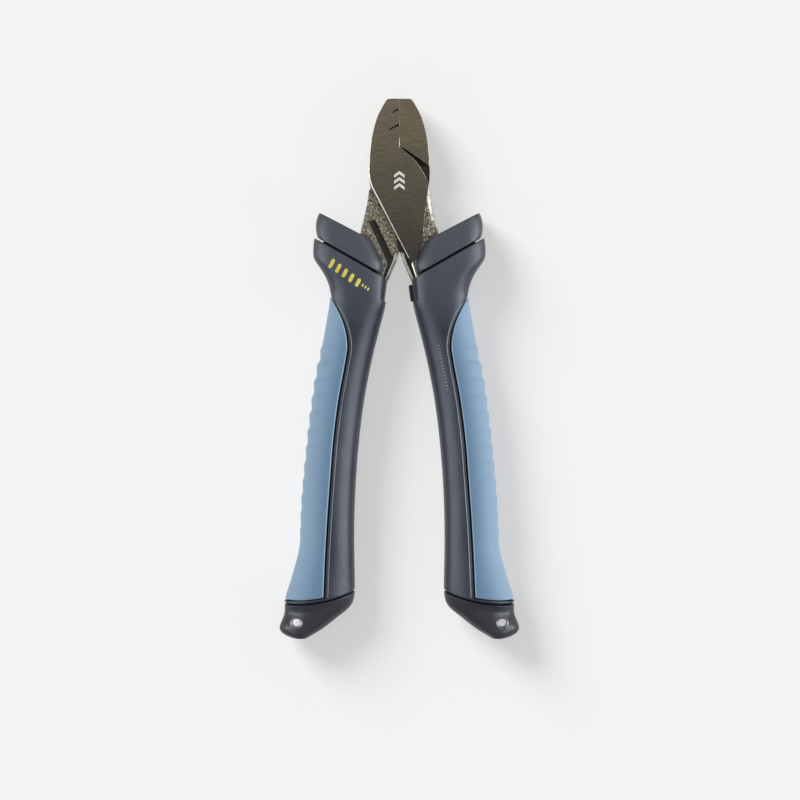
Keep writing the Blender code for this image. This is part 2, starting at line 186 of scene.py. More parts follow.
def rounding(distance, radius):
    """How far a rounded edge lies below its sharp form, this far from the edge."""
    if distance >= radius:
        return 0.0
    return radius - math.sqrt(max(0.0, radius * radius - (radius - distance) ** 2))


def graded(length, radius, pitch):
    """Positions along a length, close together where both ends are rounded."""
    near = [radius * (1 - math.cos(math.pi / 2 * step / 5)) for step in range(6)]
    count = max(1, round((length - 2 * radius) / pitch))
    middle = [radius + (length - 2 * radius) * step / count for step in range(1, count)]
    return [*near, *middle, *[length - place for place in reversed(near)]]


# ---------------------------------------------------------------- meshes
def add_object(name, bm, materials, sharp=38):
    """Makes an object from a closed bmesh: faces outwards, smooth but for its sharp edges."""
    bmesh.ops.recalc_face_normals(bm, faces=bm.faces)
    mesh = bpy.data.meshes.new(name)
    bm.to_mesh(mesh)
    bm.free()
    for material in materials:
        mesh.materials.append(material)
    mesh.shade_smooth()
    mesh.set_sharp_from_angle(angle=math.radians(sharp))
    made = bpy.data.objects.new(name, mesh)
    bpy.context.scene.collection.objects.link(made)
    return made


def mirrored(piece):
    """The left-hand copy of a right-hand piece."""
    mesh = piece.data.copy()
    mesh.transform(Matrix.Scale(-1, 4, (1, 0, 0)))
    mesh.flip_normals()
    copy = bpy.data.objects.new(piece.name.replace("right", "left"), mesh)
    bpy.context.scene.collection.objects.link(copy)
    return copy


def combine(target, cutter, operation, sharp=38):
    """Applies an exact Boolean of one object with another, which it uses up."""
    modifier = target.modifiers.new(operation, "BOOLEAN")
    modifier.operation = operation
    modifier.solver = "EXACT"
    modifier.object = cutter
    graph = bpy.context.evaluated_depsgraph_get()
    mesh = bpy.data.meshes.new_from_object(target.evaluated_get(graph))
    target.modifiers.clear()
    target.data = mesh
    bpy.data.objects.remove(cutter)
    mesh.shade_smooth()
    mesh.set_sharp_from_angle(angle=math.radians(sharp))
    return target


def skin(bm, rings, closed=True, shade=None):
    """Joins successive rings with quads; shade(ring, point) picks each quad's material slot."""
    count = len(rings[0])
    for index, (ring, after) in enumerate(zip(rings, rings[1:])):
        for point in range(count if closed else count - 1):
            beside = (point + 1) % count
            face = bm.faces.new((ring[point], ring[beside], after[beside], after[point]))
            face.material_index = shade(index, point) if shade else 0


def add_rings(bm, rings):
    return [[bm.verts.new(place) for place in ring] for ring in rings]


def shell(name, outside, inside, open_end, materials, shade=None):
    """A hollow moulding: open at its first rings, and at its last ones if open_end is set."""
    bm = bmesh.new()
    outer, inner = add_rings(bm, outside), add_rings(bm, inside)
    skin(bm, outer, shade=shade)
    skin(bm, inner)
    skin(bm, [outer[0], inner[0]])
    if open_end:
        skin(bm, [outer[-1], inner[-1]])
    else:
        bm.faces.new(outer[-1])
        bm.faces.new(inner[-1])
    return add_object(name, bm, materials)


def turned(name, profile, centre, materials, sides=64, hollow=False):
    """Turns a (radius, height) profile about an upright axis; a hollow one closes on itself."""
    bm = bmesh.new()
    rings = []
    for radius, height in profile:
        angles = [2 * math.pi * side / sides for side in range(sides)]
        rings.append([((centre[0] + radius * math.cos(a)) * MM, (centre[1] + radius * math.sin(a)) * MM,
                       (MID + height) * MM) for a in angles])
    made = add_rings(bm, rings)
    skin(bm, [*made, made[0]] if hollow else made)
    if not hollow:
        bm.faces.new(made[0])
        bm.faces.new(made[-1])
    return add_object(name, bm, materials)


# ---------------------------------------------------------------- materials
def new_material(name, colour, roughness, metallic=0.0, specular=0.5):
    """A material with its constants set on the shader; returns it and its node tree's shader."""
    material = bpy.data.materials.new(name)
    material.use_nodes = True
    shader = material.node_tree.nodes["Principled BSDF"]
    shader.inputs["Base Color"].default_value = (*colour, 1)
    shader.inputs["Roughness"].default_value = roughness
    shader.inputs["Metallic"].default_value = metallic
    shader.inputs["Specular IOR Level"].default_value = specular
    return material, shader


def node(material, kind, inputs=(), **settings):
    """Adds one node, sets its properties, and fills its sockets with values or links."""
    made = material.node_tree.nodes.new(kind)
    for key, value in settings.items():
        setattr(made, key, value)
    for socket, value in dict(inputs).items():
        if isinstance(value, bpy.types.NodeSocket):
            material.node_tree.links.new(value, made.inputs[socket])
        else:
            made.inputs[socket].default_value = value
    return made


def grain(material, scale, detail=3.0, stretch=(1, 1, 1)):
    """Noise in the object's own coordinates, as many cells a metre as scale says, stretched by axis."""
    place = node(material, "ShaderNodeTexCoord").outputs["Object"]
    mapped = node(material, "ShaderNodeMapping", {"Vector": place, "Scale": stretch})
    return node(material, "ShaderNodeTexNoise",
                {"Vector": mapped.outputs["Vector"], "Scale": scale, "Detail": detail}).outputs["Fac"]


def ramp(material, factor, stops):
    """Maps a factor to colours at the given (position, colour) stops."""
    made = node(material, "ShaderNodeValToRGB", {"Fac": factor})
    elements = made.color_ramp.elements
    while len(elements) < len(stops):
        elements.new(0.5)
    for element, (position, colour) in zip(elements, stops):
        element.position = position
        element.color = (*colour, 1)
    return made.outputs["Color"]


def bump(material, height, strength, distance, normal=None):
    inputs = {"Height": height, "Strength": strength, "Distance": distance}
    if normal:
        inputs["Normal"] = normal
    return node(material, "ShaderNodeBump", inputs).outputs["Normal"]


def link(material, output, socket):
    material.node_tree.links.new(output, socket)


def scaled_range(material, factor, low, high):
    """Spreads the middle of a noise's range from low to high."""
    made = node(material, "ShaderNodeMapRange",
                {"Value": factor, "From Min": 0.3, "From Max": 0.7, "To Min": low, "To Max": high})
    return made.outputs[0]


def multiplied(material, base, tone):
    """One colour times another."""
    made = node(material, "ShaderNodeMix", {0: 1.0, 6: base, 7: tone}, data_type="RGBA",
                blend_type="MULTIPLY")
    return made.outputs[2]


def height_share(material, low, high):
    """How far a place is along Y from low to high, in metres, from 0 to 1."""
    place = node(material, "ShaderNodeTexCoord").outputs["Object"]
    height = node(material, "ShaderNodeSeparateXYZ", {"Vector": place}).outputs["Y"]
    made = node(material, "ShaderNodeMapRange", {"Value": height, "From Min": low, "From Max": high})
    return made.outputs[0]


def moulded(name, dark, light, roughness, grain_scale, relief, specular=0.4):
    """A moulded soft plastic: mottled a little, with a fine spark-eroded grain."""
    material, shader = new_material(name, light, roughness, specular=specular)
    mottle = grain(material, grain_scale, 4)
    broad = grain(material, 60, 2)
    mixed = node(material, "ShaderNodeMath", {0: mottle, 1: broad}, operation="ADD").outputs[0]
    half = node(material, "ShaderNodeMath", {0: mixed, 1: 0.5}, operation="MULTIPLY").outputs[0]
    link(material, ramp(material, half, [(0.38, dark), (0.62, light)]), shader.inputs["Base Color"])
    rough = scaled_range(material, mottle, roughness - 0.07, roughness + 0.07)
    link(material, rough, shader.inputs["Roughness"])
    link(material, bump(material, mottle, relief, 0.00012), shader.inputs["Normal"])
    return material


def navy_rubber(name):
    """Soft navy moulding, paler and greyer towards the guard."""
    material = moulded(name, (0.008, 0.01, 0.018), (0.02, 0.024, 0.038), 0.34, 4200, 0.6, 0.36)
    shader = material.node_tree.nodes["Principled BSDF"]
    colour = shader.inputs["Base Color"].links[0].from_socket
    share = height_share(material, 0.012, 0.04)
    mixed = node(material, "ShaderNodeMix", {0: share, 6: colour, 7: (0.043, 0.045, 0.053, 1)},
                 data_type="RGBA")
    link(material, mixed.outputs[2], shader.inputs["Base Color"])
    return material


def grip_rubber(name):
    """Soft blue rubber with painted side light: paler from its inner edge to the outer side of the handle
    (the map's U).
    """
    material, shader = new_material(name, (0.16, 0.25, 0.33), 0.6, specular=0.3)
    across = node(material, "ShaderNodeSeparateXYZ",
                  {"Vector": node(material, "ShaderNodeTexCoord").outputs["UV"]}).outputs["X"]
    # Painted shade and light: the ramp darkens the side by the trench and lightens the outer side, as the
    # side strips would.
    base = ramp(material, across, [(0.3, (0.052, 0.1, 0.165)), (0.6, (0.095, 0.16, 0.23)),
                                   (0.95, (0.2, 0.285, 0.37))])
    mottle = grain(material, 1400, 4)
    tone = ramp(material, mottle, [(0.35, (0.93, 0.93, 0.93)), (0.65, (1.0, 1.0, 1.0))])
    link(material, multiplied(material, base, tone), shader.inputs["Base Color"])
    link(material, scaled_range(material, mottle, 0.54, 0.68), shader.inputs["Roughness"])
    link(material, bump(material, mottle, 0.2, 0.00012), shader.inputs["Normal"])
    shader.inputs["Sheen Weight"].default_value = 0.25
    shader.inputs["Sheen Roughness"].default_value = 0.5
    shader.inputs["Sheen Tint"].default_value = (0.8, 0.9, 1.0, 1)
    return material


def brushed_steel(name):
    """Dark-finished steel, brushed across the pliers, a shade paler towards the jaw tips."""
    material, shader = new_material(name, (0.11, 0.095, 0.075), 0.42, 0.85)
    lines = grain(material, 1.0, 4, (260, 5200, 260))
    blotch = grain(material, 120, 3)
    along = height_share(material, 0.035, TOP * MM)
    base = ramp(material, along, [(0.0, (0.06, 0.054, 0.042)), (1.0, (0.185, 0.155, 0.1))])
    strokes = ramp(material, lines, [(0.3, (0.72, 0.72, 0.72)), (0.7, (1.0, 1.0, 1.0))])
    brushed = multiplied(material, base, strokes)
    patches = ramp(material, blotch, [(0.35, (0.86, 0.85, 0.86)), (0.65, (1.0, 0.98, 0.95))])
    link(material, multiplied(material, brushed, patches), shader.inputs["Base Color"])
    link(material, scaled_range(material, lines, 0.34, 0.52), shader.inputs["Roughness"])
    link(material, bump(material, lines, 0.25, 0.00004), shader.inputs["Normal"])
    return material


def cast_nickel(name):
    """Nickel over the forging's rough skin: bright and dark specks, and painted shade in the lap's recess.
    """
    material, shader = new_material(name, (0.4, 0.36, 0.29), 0.35, 1.0)
    specks = grain(material, 1500, 5)
    base = ramp(material, specks, [(0.36, (0.07, 0.056, 0.04)), (0.48, (0.21, 0.178, 0.125)),
                                   (0.58, (0.34, 0.3, 0.22)), (0.72, (0.8, 0.75, 0.62))])
    # Painted shade: the speckle gives way to near-black above 55.5 mm, in the lap's recess.
    shade = height_share(material, 0.0555, 0.0595)
    mixed = node(material, "ShaderNodeMix", {0: shade, 6: base, 7: (0.05, 0.043, 0.03, 1)},
                 data_type="RGBA")
    link(material, mixed.outputs[2], shader.inputs["Base Color"])
    link(material, scaled_range(material, specks, 0.5, 0.25), shader.inputs["Roughness"])
    link(material, bump(material, specks, 0.7, 0.0002), shader.inputs["Normal"])
    return material


def polished(name, colour, roughness):
    """Bright metal with faint polishing marks."""
    material, shader = new_material(name, colour, roughness, 1.0)
    marks = grain(material, 900, 3)
    rough = scaled_range(material, marks, roughness * 0.7, roughness * 1.4)
    link(material, rough, shader.inputs["Roughness"])
    link(material, bump(material, marks, 0.15, 0.00004), shader.inputs["Normal"])
    return material


STEEL_FACE = brushed_steel("jaw_steel_brushed")
STEEL_EDGE = polished("jaw_steel_polished", (0.5, 0.47, 0.4), 0.38)
STEEL_CAST = cast_nickel("jaw_steel_cast")
# Near-black steel that paints shade (slot 3 of a forging): the lap floor, the gaps beside the dies and along
# the diagonal, the web by the lip and the bank beside the pad.
STEEL_SHADE = moulded("jaw_steel_painted_shade", (0.008, 0.007, 0.005), (0.03, 0.026, 0.018), 0.55, 1500, 0.3)
STEEL_SATIN = polished("jaw_steel_satin", (0.34, 0.33, 0.28), 0.5)
STEELS = [STEEL_FACE, STEEL_EDGE, STEEL_CAST, STEEL_SHADE, STEEL_SATIN]  # slots 0 to 4 of a forging
# Near-black plastic of the core, also used as painted shade in the trench beside each grip.
CORE_AND_SHADE = moulded("core_plastic", (0.003, 0.004, 0.006), (0.007, 0.009, 0.013), 0.55, 900, 0.1)
NAVY = navy_rubber("navy_rubber")
# A paler navy that paints highlights: the light line on the body's edge by the grip, and the raised dashes.
NAVY_HIGHLIGHT = moulded("navy_rubber_painted_highlight", (0.1, 0.1, 0.11), (0.16, 0.16, 0.18), 0.4, 2600, 0.3)
CAP = moulded("cap_plastic", (0.014, 0.013, 0.017), (0.022, 0.021, 0.028), 0.4, 1800, 0.15)
BLUE = grip_rubber("blue_rubber")
# A paler blue that paints the highlight along the grip's edge and its lanyard end.
BLUE_HIGHLIGHT = moulded("blue_rubber_painted_highlight", (0.2, 0.29, 0.36), (0.26, 0.36, 0.43), 0.55, 1400, 0.1)
NICKEL = polished("eyelet_nickel", (0.2, 0.2, 0.21), 0.38)
SILVER_INK = moulded("silver_ink", (0.42, 0.4, 0.35), (0.56, 0.54, 0.48), 0.5, 3000, 0.2)
GOLD_INK = moulded("gold_ink", (0.36, 0.28, 0.035), (0.62, 0.5, 0.09), 0.45, 2400, 0.2)


# ---------------------------------------------------------------- handle sections
class Section:
    """One section of the handle, in the upright plane from an inner rail to an outer rail."""

    def __init__(self, inner, outer, depth=HALF_DEPTH, bow=0.0, power=POWER):
        self.inner, self.outer = np.array(inner, float), np.array(outer, float)
        self.half = float(np.linalg.norm(self.outer - self.inner)) / 2
        self.across = (self.outer - self.inner) / (2 * self.half)
        self.depth, self.bow, self.power = depth, bow, power

    def point(self, t, side, inset=0.0):
        """The place at share t from the inner rail, on the front (+1) or rear (-1), sunk by inset."""
        u = 2 * t - 1
        power = self.power
        v = side * max(0.0, 1 - abs(u) ** power) ** (1 / power)
        normal = np.array([math.copysign(abs(u) ** (power - 1), u) / self.half,
                           math.copysign(abs(v) ** (power - 1), v) / self.depth])
        normal /= np.linalg.norm(normal)
        flat = (self.inner + self.outer) / 2 + self.across * (self.half * u - inset * normal[0])
        flat[1] += self.bow * (4 * t * (1 - t)) ** 0.7 if 0 < t < 1 else 0.0
        return (flat[0] * MM, flat[1] * MM, (MID + self.depth * v - inset * normal[1]) * MM)

    def ring(self, shares, inset):
        """A closed ring: out along the front and back along the rear.  inset may depend on the share."""
        sink = inset if callable(inset) else (lambda t: inset)
        front = [self.point(t, 1, sink(t)) for t in shares]
        rear = [self.point(t, -1, sink(t)) for t in reversed(shares[1:-1])]
        return [*front, *rear]


def round_shares(count):
    """Shares across a section that crowd towards its two sides."""
    return [(1 - math.cos(math.pi * step / count)) / 2 for step in range(count + 1)]


inner_at, outer_at = reader(INNER_EDGE), reader(OUTER_EDGE)
grip_edge_curve = np.array(smooth(GRIP_EDGE, 12))


def groove_height(x, shift):
    """Height of the guard groove's centre line at x, moved up by shift."""
    slope = (GROOVE_OUTER[1] - GROOVE_INNER[1]) / (GROOVE_OUTER[0] - GROOVE_INNER[0])
    return GROOVE_INNER[1] + (x - GROOVE_INNER[0]) * slope + shift * math.hypot(1, slope)


BODY_TOP_OUTER = groove_height(26.8, -GROOVE / 2)
BODY_TOP_INNER = groove_height(3.35, -GROOVE / 2)
BODY_FOOT = SEAM_OUTER_Y + SEAM / 2


def body_section(y):
    """The handle body's section that meets its outer edge at height y."""
    inner_y, bow = y, 0.0
    if y > FAN_START:
        inner_y = FAN_START + (y - FAN_START) * (BODY_TOP_INNER - FAN_START) / (BODY_TOP_OUTER - FAN_START)
    if y < SEAM_START:
        share = (SEAM_START - y) / (SEAM_START - SEAM_OUTER_Y)
        inner_y = SEAM_START + (SEAM_INNER_Y - SEAM_START) * share
        bow = SEAM_BOW * share ** 2
    power = POWER + (GUARD_POWER - POWER) * ease((y - 8.0) / 24.0)
    return Section((inner_at(inner_y), inner_y), (outer_at(y), y), HALF_DEPTH, bow, power)


def grip_share(section):
    """How far across a section the grip's edge crosses it, above 1 where it doesn't."""
    relative = grip_edge_curve - section.inner
    along = relative @ section.across
    off = relative[:, 0] * -section.across[1] + relative[:, 1] * section.across[0]
    crossing = np.nonzero((off[:-1] >= 0) & (off[1:] < 0))[0]
    if not len(crossing):
        return 2.0
    index = crossing[0]
    blend = off[index] / (off[index] - off[index + 1])
    return float((along[index] + (along[index + 1] - along[index]) * blend) / (2 * section.half))


INNER_STEPS, FLOOR_STEPS = 22, 14
# Distances out from the body's edge beside the grip, and how far the surface is sunk at each.
SEAT_PROFILE = [(-0.3, 0.0), (-0.16, 0.01), (-0.08, 0.05), (0.0, 0.12), (LEDGE * 0.5, 0.15),
                (LEDGE, LEDGE_DROP + 0.08), (LEDGE + 0.04, LEDGE_DROP + 0.25), (LEDGE + 0.06, GRIP_FLOOR)]


def body_ring(section, end_gap):
    """The body's ring, with the seat for the grip sunk into its outer side."""
    width = 2 * section.half
    edge = grip_share(section) - (LEDGE + TRENCH) / width
    present = ease((1.0 - edge) * width / 1.2)
    last = len(SEAT_PROFILE) + FLOOR_STEPS
    edge = min(edge, 1.0)
    shares = [edge * (1 - math.cos(math.pi / 2 * step / INNER_STEPS)) for step in range(INNER_STEPS)]
    shares = [min(share, edge + SEAT_PROFILE[0][0] / width - 0.0006 * (INNER_STEPS - step))
              for step, share in enumerate(shares)]
    sinks = [0.0] * INNER_STEPS
    for place, sink in SEAT_PROFILE:
        shares.append(edge + place / width)
        sinks.append(sink)
    start = shares[-1]
    for step in range(1, FLOOR_STEPS + 1):
        shares.append(start + (1 - start) * math.sin(math.pi / 2 * step / FLOOR_STEPS))
        sinks.append(GRIP_FLOOR)
    for back in range(len(shares)):
        index = len(shares) - 1 - back
        shares[index] = min(shares[index], 1 - 0.0004 * back)
    shares[0], shares[-1] = 0.0, 1.0
    on_seat = ease((section.outer[1] - GRIP_END_Y + 0.35) / 0.1)
    end_sink = rounding(end_gap, EDGE)
    window = 0.5 * ease((section.inner[1] - 21.0) / 0.25)
    total = [max(sink * present * on_seat, end_sink) + window * ease((0.10 - share) / 0.05)
             for share, sink in zip(shares, sinks)]
    front = [section.point(t, 1, sink) for t, sink in zip(shares, total)]
    rear = [section.point(t, -1, sink) for t, sink in zip(shares, total)][1:-1]
    return [*front, *reversed(rear)]


def body_heights():
    """Heights of the body's sections, closer together at its ends and by the ends of the grip's seat."""
    length = BODY_TOP_OUTER - BODY_FOOT
    places = [BODY_FOOT + place for place in graded(length, EDGE, 1.1)]
    places += [GRIP_END_Y - 0.35 + 0.1 * step for step in range(3)]
    places += [20.0 + 0.4 * step for step in range(16)]
    kept = []
    for place in sorted(places):
        if not kept or place - kept[-1] > 0.02:
            kept.append(place)
    return kept


def handle_body():
    heights = body_heights()
    outside, inside = [], []
    for y in heights:
        section = body_section(y)
        outside.append(body_ring(section, min(y - BODY_FOOT, BODY_TOP_OUTER - y)))
        shares = round_shares(INNER_STEPS + len(SEAT_PROFILE) + FLOOR_STEPS - 1)
        inside.append(section.ring(shares, SHELL))
    trench = range(INNER_STEPS + 5, INNER_STEPS + len(SEAT_PROFILE) + FLOOR_STEPS - 1)
    count = len(outside[0])

    def shade(ring, point):
        mirrored_point = point if point < count / 2 else count - 1 - point
        if not GRIP_END_Y - 0.3 < heights[ring] < 22.6:
            return 0
        # the trench beside the grip is painted shade, in the core's near-black
        if mirrored_point in trench:
            return 1
        # a narrow band at the body's edge takes the painted highlight
        return 2 if INNER_STEPS + 1 <= mirrored_point < INNER_STEPS + 3 else 0

    return shell("handle_body_right_moulding", outside, inside, True, [NAVY, CORE_AND_SHADE, NAVY_HIGHLIGHT], shade)


def ridge(y):
    """Height of the finger ridges: each rises fast towards the lanyard end and falls slowly."""
    if not RIDGE_BOTTOM < y < RIDGE_TOP:
        return 0.0
    phase = ((RIDGE_TOP - y) / RIDGE_PITCH) % 1.0
    wave = ease(phase / 0.3) if phase < 0.3 else 1 - ease((phase - 0.3) / 0.7)
    fade = 0.35 + 0.65 * (y - RIDGE_BOTTOM) / (RIDGE_TOP - RIDGE_BOTTOM)
    return RIDGE_HEIGHT * fade * (wave - 0.5) * ease((RIDGE_TOP - y) / 2) * ease((y - RIDGE_BOTTOM) / 4)


def grip_shares(start, width):
    """Shares from the grip's edge to the outer rail, four of them within the edge's rounding."""
    lip = [start + place / width for place in (0.0, 0.05, 0.15, 0.3)]
    arc = [start + (1 - start) * math.sin(math.pi / 2 * (1 - step / GRIP_STEPS))
           for step in range(GRIP_STEPS, -1, -1)]
    shares = [*lip, *[share for share in arc if share > lip[-1] + 0.01]]
    count = len(lip) + GRIP_STEPS
    shares = list(np.interp(np.linspace(0, 1, count), np.linspace(0, 1, len(shares)), shares))
    shares[:len(lip)] = lip
    shares = [min(share, 1 - 0.0005 * (count - 1 - index)) for index, share in enumerate(shares)]
    shares[-1] = 1.0
    return shares


def grip_arcs(y, end_gap):
    """The grip's outer and inner arcs at one height, from its front edge round to its rear edge."""
    section = body_section(y)
    start = min(grip_share(section), 0.985)
    width = 2 * section.half
    shares = grip_shares(start, width)
    outer, inner = [], []
    for side, run in ((1, shares), (-1, shares[-2::-1])):
        for share in run:
            sink = max(rounding((share - start) * width, EDGE), rounding(end_gap, EDGE))
            raised = ridge(y) * ease((share - start) / max(0.05, 1 - start) * 1.25 - 0.25)
            outer.append(section.point(share, side, sink - raised))
            inner.append(section.point(share, side, GRIP_FLOOR - 0.1))
    return outer, inner


def map_across(bm):
    """Maps U across the handle, from its inner rail to its outer one, and V along it; U drives the grip's
    painted side light.
    """
    layer = bm.loops.layers.uv.new("across")
    for face in bm.faces:
        for loop in face.loops:
            x, y, _ = loop.vert.co / MM
            section = body_section(min(max(y, GRIP_END_Y), FAN_START))
            loop[layer].uv = ((x - section.inner[0]) / (2 * section.half), (y - GRIP_END_Y) / 100)


def grip():
    """The soft grip: a C-shaped moulding that wraps the outer side of the handle."""
    bm = bmesh.new()
    length = GRIP_TOP_Y - GRIP_END_Y
    arcs = [grip_arcs(GRIP_END_Y + place, min(place, length - place))
            for place in graded(length, EDGE, GRIP_PITCH)]
    made = [add_rings(bm, pair) for pair in arcs]
    count = len(made[0][0])
    # The first quads round the edge and the first rings at the lanyard end take the painted highlight.
    skin(bm, [[*outer, *reversed(inner)] for outer, inner in made],
         shade=lambda ring, point: 1 if point < 3 or ring < 3 and point < count else 0)
    for pair in (made[0], made[-1]):
        skin(bm, pair, closed=False)
    map_across(bm)
    return add_object("grip_right_moulding", bm, [BLUE, BLUE_HIGHLIGHT])


def guard_sections(gap_start, gap_end):
    """The guard's sections from the groove up to its top face, less a gap at each end."""
    rails = [np.array([(x, y) for y, x in smooth(rail, 12)]) for rail in (GUARD_INNER, GUARD_OUTER)]
    made = []
    for place in graded(GUARD_RISE, EDGE, GUARD_PITCH):
        share = place / GUARD_RISE
        inner, outer = [
            np.array([np.interp(share, np.linspace(0, 1, len(rail)), rail[:, axis]) for axis in (0, 1)])
            for rail in rails]
        if gap_start <= place <= GUARD_RISE - gap_end:
            section = Section(inner, outer, HALF_DEPTH - 0.5 * share, power=GUARD_POWER)
            made.append((section, min(place, GUARD_RISE - place)))
    return made


def guard():
    shares = round_shares(34)
    outside = [section.ring(shares, rounding(gap, EDGE)) for section, gap in guard_sections(0, 0)]
    inside = [section.ring(shares, SHELL) for section, _ in guard_sections(0, 2.2)]
    return shell("guard_right_moulding", outside, inside, False, [NAVY])


def cap_sections():
    """The end cap's sections, from its seam down to its end."""
    inner_x, outer_x = reader(CAP_INNER), reader(CAP_OUTER)
    top_inner, top_outer = SEAM_INNER_Y - SEAM / 2, SEAM_OUTER_Y - SEAM / 2
    bottom = CAP_INNER[0][0]
    made = []
    length = top_outer - bottom
    for place in graded(length, EDGE, 0.55)[:-3]:
        share = place / length
        y_outer = top_outer - place
        y_inner = top_inner + (bottom - top_inner) * share
        depth = float(np.interp(y_outer, *zip(*CAP_DEPTH)))
        bow = SEAM_BOW * max(0.0, 1 - place / 5.0) ** 2
        made.append((Section((inner_x(y_inner), y_inner), (outer_x(y_outer), y_outer), depth, bow), place))
    return made


def end_cap():
    shares = round_shares(34)
    sections = cap_sections()
    outside = [section.ring(shares, rounding(gap, EDGE)) for section, gap in sections]
    inside = [section.ring(shares, SHELL) for section, gap in sections if gap < 3.2]
    piece = shell("end_cap_right_moulding", outside, inside, False, [CAP])
    flare = EYE_FLANGE + 0.06
    neck = EYE_FACE - 0.5
    bore = EYE_TUBE + 0.03
    hole = [(flare, -9), (flare, -neck), (bore, -neck), (bore, neck), (flare, neck), (flare, 9)]
    return combine(piece, turned("eyelet_hole", hole, EYE, [CAP]), "DIFFERENCE")


def eyelet():
    """A pressed tube with a rolled flange at each face."""
    rolled = [(EYE_FLANGE - 0.2 * (1 - math.cos(a)), EYE_FACE - 0.2 + 0.2 * math.sin(a))
              for a in np.linspace(0, math.pi / 2, 6)]
    mouth = [(EYE_BORE + 0.3 * (1 - math.sin(a)), EYE_FACE - 0.3 * (1 - math.cos(a)))
             for a in np.linspace(0, math.pi / 2, 6)]
    neck = EYE_FACE - 0.45
    upper = [(EYE_TUBE, neck), (EYE_FLANGE, neck), *rolled, *mouth]
    lower = [(radius, -height) for radius, height in reversed(upper)]
    return turned("lanyard_eyelet_right_ring", [*upper, *lower], EYE, [NICKEL], hollow=True)


def core():
    """The hard core under the mouldings, seen only at the bottom of the grooves."""
    shares = round_shares(20)
    rings = [section.ring(shares, CORE_INSET)
             for section, gap in reversed(cap_sections()) if 0.2 < gap < 3.0]
    heights = np.linspace(BODY_FOOT, BODY_TOP_OUTER, 60)
    rings += [body_section(y).ring(shares, CORE_INSET) for y in heights]
    rings += [section.ring(shares, CORE_INSET) for section, _ in guard_sections(0.2, 2.4)]
    bm = bmesh.new()
    made = add_rings(bm, rings)
    skin(bm, made)
    bm.faces.new(made[0])
    bm.faces.new(made[-1])
    return add_object("handle_core_right_sleeve", bm, [CORE_AND_SHADE])


# ---------------------------------------------------------------- forgings
def inset_outline(outline, widths):
    """Moves each side of a closed outline inwards by its own width, from its start point on."""
    corners = np.array(outline, float)
    x, y = corners.T
    turn = math.copysign(1, np.sum(x * np.roll(y, -1) - np.roll(x, -1) * y))
    moved = []
    count = len(corners)
    for index in range(count):
        before, corner, after = corners[index - 1], corners[index], corners[(index + 1) % count]
        first = (corner - before) / np.linalg.norm(corner - before)
        second = (after - corner) / np.linalg.norm(after - corner)
        first_in = turn * np.array([-first[1], first[0]])
        second_in = turn * np.array([-second[1], second[0]])
        first_width, second_width = widths[index - 1], widths[index]
        lean = first_in @ second_in
        if lean > 0.9:
            moved.append(corner + (first_in + second_in) / (1 + lean) * (first_width + second_width) / 2)
        else:
            solved = np.linalg.solve(np.array([first_in, second_in]), np.array([first_width, second_width]))
            moved.append(corner + solved)
    return moved


def raised_place(flip, x, y, z):
    """A place on a forging from its height over the middle plane; the rear one is turned over."""
    return (flip * x * MM, y * MM, (MID + flip * z) * MM)


def slab(outline, low, high, front=0.0, rear=0.0, slots=(2, 1, 2, 2), flip=1, styles=()):
    """An extruded outline with chamfered front and rear edges.

    slots are the material slots of the front face, the chamfers, the sides and the rear face.  styles
    are (picker, chamfer, lean, chamfer slot, side slot) for the sides whose middles their pickers pick.
    """
    count = len(outline)
    middles = [((start[0] + end[0]) / 2, (start[1] + end[1]) / 2)
               for start, end in zip(outline, [*outline[1:], outline[0]])]
    plain = (None, front, 0.0, slots[1], slots[2])
    chosen = [next((style for style in styles if style[0](*middle)), plain) for middle in middles]
    widths, drafts = [style[1] for style in chosen], [style[2] for style in chosen]
    levels = []
    if rear:
        levels.append((inset_outline(outline, [rear] * count), [low] * count))
    levels.append((outline, [low + rear] * count))
    if any(widths):
        drops = [max(widths[index - 1], widths[index]) * FALL for index in range(count)]
        levels.append((inset_outline(outline, drafts), [high - drop for drop in drops]))
        both = [width + draft for width, draft in zip(widths, drafts)]
        levels.append((inset_outline(outline, both), [high] * count))
    else:
        levels.append((outline, [high] * count))
    bm = bmesh.new()
    rings = add_rings(bm, [[raised_place(flip, x, y, z) for (x, y), z in zip(ring, heights)]
                           for ring, heights in levels])

    def shade(ring, point):
        if rear and ring == 0:
            return slots[1]
        return chosen[point][3] if any(widths) and ring == len(rings) - 2 else chosen[point][4]

    skin(bm, rings, shade=shade)
    bm.faces.new(rings[-1]).material_index = slots[0]
    bm.faces.new(rings[0]).material_index = slots[3]
    return add_object("slab", bm, STEELS, sharp=20)


def slope(top, foot, top_z, foot_z, flip):
    """A triangular bank between a straight top edge and a straight foot, in painted shade (slot 3)."""
    bm = bmesh.new()
    rings = [[(*top[end], top_z), (*foot[end], foot_z), (*top[end], foot_z)] for end in (0, 1)]
    rings = add_rings(bm, [[raised_place(flip, *place) for place in ring] for ring in rings])
    skin(bm, rings, shade=lambda ring, point: 3)
    for ring in rings:
        bm.faces.new(ring).material_index = 3
    return add_object("slope", bm, STEELS, sharp=20)


def seam_line(male):
    """The closing face of one jaw, from its end down to the lap."""
    dies = [(-x, y) for x, y in (*SMALL_TOOTH, *LARGE_TOOTH)] if male else [*SMALL_DIE, *LARGE_DIE]
    return [(0.0, TOP), *dies]


def jaw_outline(male):
    """The jaw behind the lap: it ends in the step that the other half's plate turns under."""
    step = smooth(STEP, 5)
    return [*smooth(JAW_SIDE, 5)[::-1], *seam_line(male), *step]


